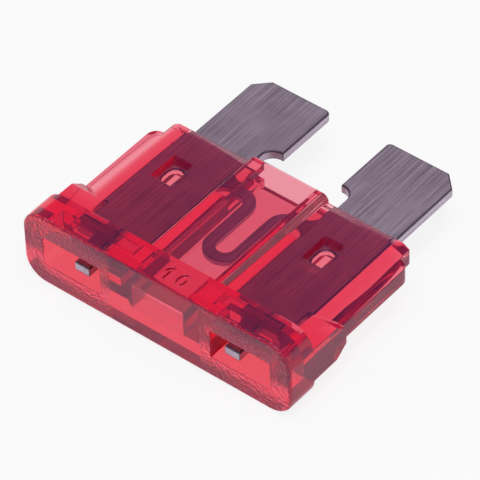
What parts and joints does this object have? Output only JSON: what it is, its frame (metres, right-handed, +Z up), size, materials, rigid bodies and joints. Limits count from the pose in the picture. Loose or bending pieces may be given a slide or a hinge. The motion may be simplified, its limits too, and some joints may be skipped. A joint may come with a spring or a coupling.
{
  "type": "automotive blade fuse",
  "caption": "Regular-size plug-in blade fuse: a clear red moulded housing with test windows, staked on a one-piece stamped element with flat blades and a U-shaped link.",
  "frame": {"origin": "bottom centre of the box round the fuse as it lies flat, at the height of the head's underside", "axes": "+X along the head's width, +Y from the head's end face to the blade tips, +Z up through the thickness"},
  "size_m": [0.019, 0.0186, 0.0051],
  "materials": {
    "housing": "clear red moulded polycarbonate, glossy",
    "element": "tin-plated stamped zinc alloy, fine grain along the blades"
  },
  "bodies": {
    "root": {"housing": "housing", "fuse_element": "element"}
  },
  "joints": []
}
